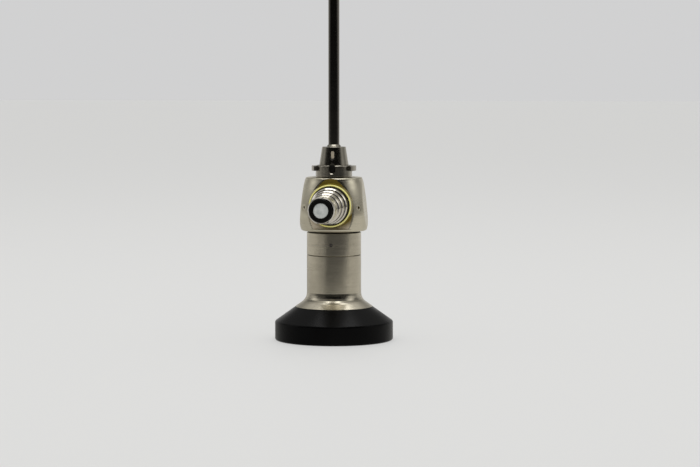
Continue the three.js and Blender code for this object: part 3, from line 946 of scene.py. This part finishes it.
COLLAR_RADIUS = 4.92
COLLAR_TOP = 47.4
UNDERCUT = 0.35
LUG_INSIDE = 4.0
LUG_BOTTOM = 45.9
LUG_DROP = 0.2  # of the lugs' tops below the collar's
LUG_HALF_TURN = math.radians(33.5)
LUG_STEPS = 24
NOTCH_HEIGHT = 46.65
NOTCH_RADIUS = 0.7
NOTCH_SPAN = 0.65
NOTCH_FLOOR = 3.3
NOTCH_BEVEL = 4.5  # the notch's bevel starts here, and is this much wider where its cut ends
NOTCH_WIDENING = 1.35
NOTCH_CUT = 6.3
CONE_FOOT = 3.96
CONE_TOP = 3.18
CONE_TOP_HEIGHT = 52.3
KEYHOLE_HEIGHT = 50.2
KEYHOLE_RADIUS = 0.42  # at its floor, and it is this much wider where its cut ends
KEYHOLE_WIDENING = 0.83
KEYHOLE_SPAN = 0.6
KEYHOLE_FLOOR = 3.07
KEYHOLE_CUT = 4.37
KEYHOLE_REACH = 1.6  # all of the keyhole is this near its middle's height
SHAFT_BORE = 1.55


def front_cut(name, height, outline, floor, end, top_outline=None):
    """A tool that cuts into the front at a height, from a floor outwards."""
    place = ALONG_POST @ Matrix.Translation((0, height - POST_HEIGHT, 0))
    return prism(name, outline, floor, end, place, top_outline)


def locating_notch():
    outline = obround(NOTCH_RADIUS, NOTCH_SPAN)
    return front_cut("notch", NOTCH_HEIGHT, outline, NOTCH_FLOOR, NOTCH_CUT)


def notch_bevel():
    outline = obround(NOTCH_RADIUS, NOTCH_SPAN)
    mouth = obround(NOTCH_RADIUS + NOTCH_WIDENING, NOTCH_SPAN)
    return front_cut("bevel", NOTCH_HEIGHT, outline, NOTCH_BEVEL, NOTCH_CUT, mouth)


def keyhole():
    outline = obround(KEYHOLE_RADIUS, KEYHOLE_SPAN)
    mouth = obround(KEYHOLE_RADIUS + KEYHOLE_WIDENING, KEYHOLE_SPAN)
    return front_cut("keyhole", KEYHOLE_HEIGHT, outline, KEYHOLE_FLOOR, KEYHOLE_CUT, mouth)


def lug(side):
    """One of the collar's two lugs, a ring's sector."""
    outside = radius("bayonet_collar")
    turns = [side + LUG_HALF_TURN * (2 * k / LUG_STEPS - 1) for k in range(LUG_STEPS + 1)]
    outline = [(outside * math.cos(t), outside * math.sin(t)) for t in turns]
    outline += [(LUG_INSIDE * math.cos(t), LUG_INSIDE * math.sin(t)) for t in reversed(turns)]
    return prism("lug", outline, LUG_BOTTOM, high("bayonet_collar").z - LUG_DROP)


def bayonet_collar(material, floor_material):
    base = low("bayonet_collar").z
    profile = [
        (SEAT_BORE, base),
        (COLLAR_RADIUS - UNDERCUT, base),
        (COLLAR_RADIUS - UNDERCUT, base + 0.2),
        (COLLAR_RADIUS, base + 0.22, 0.04),
        (COLLAR_RADIUS, COLLAR_TOP, 0.42),
        (SEAT_BORE, COLLAR_TOP),
    ]
    collar = turned("collar", profile)
    for side in (0, math.pi):
        combine(collar, lug(side), "UNION")
    combine(collar, locating_notch(), "DIFFERENCE")
    combine(collar, notch_bevel(), "DIFFERENCE")
    finish_piece(collar, "bayonet_collar", "scope", material)

    def on_floor(p, n):
        return near(p.y, -NOTCH_FLOOR) and abs(p.x) < NOTCH_RADIUS + NEAR

    # Painted shade: the notch's floor gets the dark material, which stands in for the shade in the notch.
    paint_faces(collar, floor_material, on_floor)


def sheath_cone(material, shadow_material, floor_material):
    base, stem, stem_foot = COLLAR_TOP + GAP, SEAT_BORE - GAP, 41
    profile = [
        (SHAFT_BORE, stem_foot),
        (stem, stem_foot),
        (stem, base),
        (CONE_FOOT, base, 0.05),
        (CONE_TOP, CONE_TOP_HEIGHT, 0.12),
        (1.95, CONE_TOP_HEIGHT + 0.08, 0.1),
        (1.8, CONE_TOP_HEIGHT + 0.35, 0.15),
        (SHAFT_BORE, CONE_TOP_HEIGHT + 0.6),
    ]
    cone = turned("cone", profile)
    combine(cone, locating_notch(), "DIFFERENCE")
    combine(cone, keyhole(), "DIFFERENCE")
    finish_piece(cone, "sheath_cone", "scope", material)

    def in_keyhole(p, n):
        surface = CONE_FOOT - (p.z - base) * (CONE_FOOT - CONE_TOP) / (CONE_TOP_HEIGHT - base)
        below_surface = math.hypot(p.x, p.y) < surface - 0.03
        in_front = -p.y > KEYHOLE_FLOOR - NEAR
        return below_surface and in_front and abs(p.z - KEYHOLE_HEIGHT) < KEYHOLE_REACH

    def on_floor(p, n):
        return in_keyhole(p, n) and faces_front(n) and near(p.y, -KEYHOLE_FLOOR)

    # Painted shade on the keyhole's walls and bevel, and a painted highlight on its floor, whose pale
    # milled steel stands in for the light that the floor reflects.
    paint_faces(cone, shadow_material, in_keyhole)
    paint_faces(cone, floor_material, on_floor)


# ---- shaft and tip ----

SHAFT_RADIUS = 1.5
VIEW_ANGLE = math.radians(70)  # between the shaft and the way that the tip looks
TIP_STEM = 1.5  # the length of the tip that sits in the shaft
TIP_STEM_RADIUS = 1.3
WINDOW_BACK = 0.85  # the window's centre, behind the axis and below the tip's end
WINDOW_DROP = 2.2
WINDOW_RADIUS = 0.75
WINDOW_DEPTH = 1.6
OUTLET_OFFSET = 1.2  # from the window's centre
OUTLET_RADIUS = 0.3
OUTLET_DEPTH = 0.9
SLANT_TOOL = (4, 10, 8)  # the block that cuts the slant: half its width, half its length, its height


def shaft(material):
    bore, foot, end = 1.35, 41.5, high("shaft_tube").z
    profile = [
        (bore, foot),
        (SHAFT_RADIUS, foot),
        (SHAFT_RADIUS, end, 0.02),
        (bore, end),
    ]
    tube = turned("shaft", profile, facets=FINE_FACETS)
    finish_piece(tube, "shaft_tube", "scope", material)


def distal_tip(material):
    """A plug with a slanted face, which holds the window and the light fibres' ends."""
    base = high("shaft_tube").z + GAP
    end = high("distal_tip").z
    profile = [
        (0, base - TIP_STEM),
        (TIP_STEM_RADIUS, base - TIP_STEM),
        (TIP_STEM_RADIUS, base),
        (SHAFT_RADIUS, base, 0.02),
        (SHAFT_RADIUS, end, 0.45),
        (0, end),
    ]
    tip = turned("tip", profile, facets=FINE_FACETS)
    centre = Matrix.Translation((0, WINDOW_BACK, end - WINDOW_DROP))
    slant = UPRIGHT @ centre @ Matrix.Rotation(-VIEW_ANGLE, 4, "X")
    across, along, away = SLANT_TOOL
    block = [(-across, -along), (across, -along), (across, along), (-across, along)]
    combine(tip, prism("slant", block, 0, away, slant), "DIFFERENCE")
    combine(tip, bored("hole", WINDOW_RADIUS, -WINDOW_DEPTH, 1, slant), "DIFFERENCE")
    beside = slant @ Matrix.Translation((0, OUTLET_OFFSET, 0))
    combine(tip, bored("hole", OUTLET_RADIUS, -OUTLET_DEPTH, 1, beside), "DIFFERENCE")
    finish_piece(tip, "distal_tip", "scope", material)


# ---- light, floor and camera, in metres ----

CAMERA_AZIMUTH = math.radians(6.7)
CAMERA_DISTANCE = 0.606
CAMERA_HEIGHT = 0.0745
CAMERA_PITCH = math.radians(4.313)
CAMERA_PAN = math.radians(0.41)
CAMERA_LENS = 115.4
PAPER = (0.637, 0.637, 0.64)  # what the camera sees behind the scope
FLOOR_SIZE = 8
FLOOR_SHINE = 0.43
LAMP_PLACE = (0, 0.01, TABLE + 0.72)
LAMP_TARGET = (0, 0, TABLE + 0.035)
LAMP_SIZE = (0.44, 0.68)
LAMP_RADIANCE = 2.2
ROOM_LIGHT = 0.8  # the even light from all round

# What metal reflects of the table: patches with their left, right, front and back edges and their shine.
TABLE_TOP = [
    ("table_right", 0, 0.6, -0.115, 0.3, 0.55),
    ("table_left", -0.22, 0, -0.115, 0.3, 0.43),
    ("table_far_left", -0.9, -0.22, -0.155, 0.3, 0.62),
    ("table_corner", -0.64, -0.14, -0.355, -0.155, 0.6),
]

# What metal reflects of the room: soft round patches of light, each with its azimuth, elevation and
# spread in degrees and its strength. Azimuth 0 is the front.
PANELS = [
    (88, 18, 24, 0.48),
    (-92, 16, 24, 0.42),
    (84, 33, 17, 0.95),
    (-88, 31, 17, 0.8),
    (-58, 42, 30, 0.15),
    (180, 80, 58, 0.58),
]


def camera():
    data = bpy.data.cameras.new("camera")
    data.lens = CAMERA_LENS
    data.clip_start = 0.01
    eye = bpy.data.objects.new("camera", data)
    bpy.context.scene.collection.objects.link(eye)
    x = CAMERA_DISTANCE * math.sin(CAMERA_AZIMUTH)
    y = -CAMERA_DISTANCE * math.cos(CAMERA_AZIMUTH)
    eye.location = (x, y, TABLE + CAMERA_HEIGHT)
    eye.rotation_euler = (math.pi / 2 - CAMERA_PITCH, 0, CAMERA_AZIMUTH - CAMERA_PAN)
    bpy.context.scene.camera = eye


def card(name, size, middle, material):
    """A flat level sheet of the studio, which casts no shadow."""
    half_x, half_y = size[0] / 2, size[1] / 2
    corners = [(-half_x, -half_y, 0), (half_x, -half_y, 0), (half_x, half_y, 0), (-half_x, half_y, 0)]
    mesh = bpy.data.meshes.new(name)
    mesh.from_pydata(corners, [], [(0, 1, 2, 3)])
    mesh.materials.append(material)
    sheet = bpy.data.objects.new(name, mesh)
    sheet.location = middle
    sheet.visible_shadow = False
    bpy.context.scene.collection.objects.link(sheet)
    return sheet


def floor():
    """What the camera sees and the diffuse light meets. Metal reflects the table's patches instead."""
    pale = Paint("pale_floor", (0.25, 0.25, 0.247), 0, 0.7)
    pale.set("Emission Color", (1, 1, 0.99, 1))
    pale.set("Emission Strength", FLOOR_SHINE)
    sheet = card("floor", (FLOOR_SIZE, FLOOR_SIZE), (0, 0, TABLE), pale.material)
    sheet.visible_glossy = False


def table_top():
    for name, left, right, front, back, shine in TABLE_TOP:
        glow = Paint(name + "_glow", (0, 0, 0), 0, 1)
        glow.set("Emission Color", (shine, shine * 0.98, shine * 0.93, 1))
        glow.set("Emission Strength", 1)
        middle = ((left + right) / 2, (front + back) / 2, TABLE - MM)
        sheet = card(name, (right - left, back - front), middle, glow.material)
        sheet.visible_camera = False
        sheet.visible_diffuse = False


def overhead_lamp():
    data = bpy.data.lights.new("overhead", "AREA")
    data.shape = "RECTANGLE"
    data.size, data.size_y = LAMP_SIZE
    data.energy = LAMP_RADIANCE * math.pi * LAMP_SIZE[0] * LAMP_SIZE[1]
    lamp = bpy.data.objects.new("overhead", data)
    lamp.location = LAMP_PLACE
    way = Vector(LAMP_TARGET) - Vector(LAMP_PLACE)
    lamp.rotation_euler = way.to_track_quat("-Z", "Y").to_euler()
    bpy.context.scene.collection.objects.link(lamp)


class Sky:
    """The world's node tree, with short ways to add to it."""

    def __init__(self):
        world = bpy.data.worlds.new("world")
        bpy.context.scene.world = world
        world.use_nodes = True
        world.cycles.sampling_method = "NONE"
        self.nodes = world.node_tree.nodes
        self.links = world.node_tree.links
        self.way = self.nodes.new("ShaderNodeTexCoord").outputs["Generated"]

    def fill(self, socket, value):
        """Sets a socket to a number or a colour, or links it to another node."""
        if isinstance(value, bpy.types.NodeSocket):
            self.links.new(value, socket)
        else:
            socket.default_value = value

    def ramp(self, value, *numbers):
        """Turns values between two numbers smoothly into values between two others."""
        made = self.nodes.new("ShaderNodeMapRange")
        made.interpolation_type = "SMOOTHSTEP"
        set_range(made, *numbers)
        self.fill(made.inputs["Value"], value)
        return made.outputs["Result"]

    def arithmetic(self, operation, first, second):
        made = self.nodes.new("ShaderNodeMath")
        made.operation = operation
        self.fill(made.inputs[0], first)
        self.fill(made.inputs[1], second)
        return made.outputs["Value"]

    def panel(self, azimuth, elevation, spread, strength):
        """A soft round patch of light."""
        turn, rise = math.radians(azimuth), math.radians(elevation)
        x = math.cos(rise) * math.sin(turn)
        y = -math.cos(rise) * math.cos(turn)
        facing = self.nodes.new("ShaderNodeVectorMath")
        facing.operation = "DOT_PRODUCT"
        self.fill(facing.inputs[0], self.way)
        self.fill(facing.inputs[1], (x, y, math.sin(rise)))
        return self.ramp(facing.outputs["Value"], math.cos(math.radians(spread)), 1, 0, strength)

    def light(self, color, strength):
        made = self.nodes.new("ShaderNodeBackground")
        self.fill(made.inputs["Color"], (*color, 1))
        self.fill(made.inputs["Strength"], strength)
        return made.outputs["Background"]

    def either(self, test, otherwise, then):
        made = self.nodes.new("ShaderNodeMixShader")
        self.fill(made.inputs[0], test)
        self.fill(made.inputs[1], otherwise)
        self.fill(made.inputs[2], then)
        return made.outputs["Shader"]


def room():
    """Soft even light, and for reflections a room: dark in front, pale behind and above."""
    sky = Sky()
    split = sky.nodes.new("ShaderNodeSeparateXYZ")
    sky.fill(split.inputs["Vector"], sky.way)
    wall = sky.ramp(split.outputs["Y"], 0.1, 0.75, 0.01, 0.62)
    fade = sky.ramp(split.outputs["Z"], 0.1, 0.5, 1, 0.3)
    ground = sky.ramp(split.outputs["Z"], -0.02, -0.08, 0, 0.1)
    shine = sky.arithmetic("MULTIPLY", wall, fade)
    shine = sky.arithmetic("ADD", shine, ground)
    for azimuth, elevation, spread, strength in PANELS:
        shine = sky.arithmetic("ADD", shine, sky.panel(azimuth, elevation, spread, strength))
    path = sky.nodes.new("ShaderNodeLightPath")
    even = sky.light((1, 1, 0.985), ROOM_LIGHT)
    reflected = sky.light((1, 0.99, 0.965), shine)
    seen = sky.either(path.outputs["Is Glossy Ray"], even, reflected)
    seen = sky.either(path.outputs["Is Camera Ray"], seen, sky.light(PAPER, 1))
    sky.fill(sky.nodes["World Output"].inputs["Surface"], seen)


camera()
floor()
table_top()
overhead_lamp()
room()
bpy.context.scene.view_settings.view_transform = "Standard"


# ---- the scope ----

brushed = satin_steel("brushed_steel", (0.62, 0.573, 0.46), roughness=0.24, marks=1)
blasted = satin_steel("blasted_steel", (0.7, 0.655, 0.52), roughness=0.3, marks=0.6)
bright = satin_steel("turned_steel", (0.76, 0.72, 0.65), roughness=0.13, marks=0.3, axis=1, turn=0.25)
seat_steel = satin_steel("seat_steel", (0.41, 0.385, 0.325), roughness=0.22, marks=0.5)
shaft_steel = satin_steel("shaft_steel", (0.26, 0.245, 0.215), roughness=0.13, marks=0.4)
# Milled steel with painted light: the yellow ring's reflection and shade on the front flat, and a pale
# painted highlight on the keyhole's floor.
milled = steel_with_painted_reflection()
rubber = black_rubber()
fibres = fibre_face()
glass = coated_glass()
# Blackened metal for the parts inside the scope, also used as painted shade in the gap under the housing,
# on the notch's floor and in the keyhole.
blackened = blackened_metal()

eyepiece_cup(black_polymer())
ocular_body(brushed)
marking_sleeve(brushed, blackened)
marker_dot(ink())
light_housing(blasted, milled)
grub_screw("screw_left", "grub_screw_left", -SCREW_TURN, blasted)
grub_screw("screw_right", "grub_screw_right", SCREW_TURN, blasted)
colour_ring(yellow_enamel())
light_post(bright)
inner_adapter(bright)
outer_adapter(bright)
inner_seal(rubber)
outer_seal(rubber)
light_inlet(black_ring(), fibres)
bayonet_collar(seat_steel, blackened)
sheath_cone(seat_steel, blackened, milled)
shaft(shaft_steel)
distal_tip(shaft_steel)

# The CAD nodes that stay, inside the scope and in its windows, get these materials by their slot.
KEPT = {
    "optical_glass": glass,
    "glass_fibre": fibres,
    "blackened_metal": blackened,
    "rubber": rubber,
    "satin_steel": brushed,
}
for part in frame["record"]["subparts"]:
    shown = frame["nodes"][part["node"]]
    if not shown.hide_render and part["material_slot"] in KEPT:
        recolour(part["node"], KEPT[part["material_slot"]])
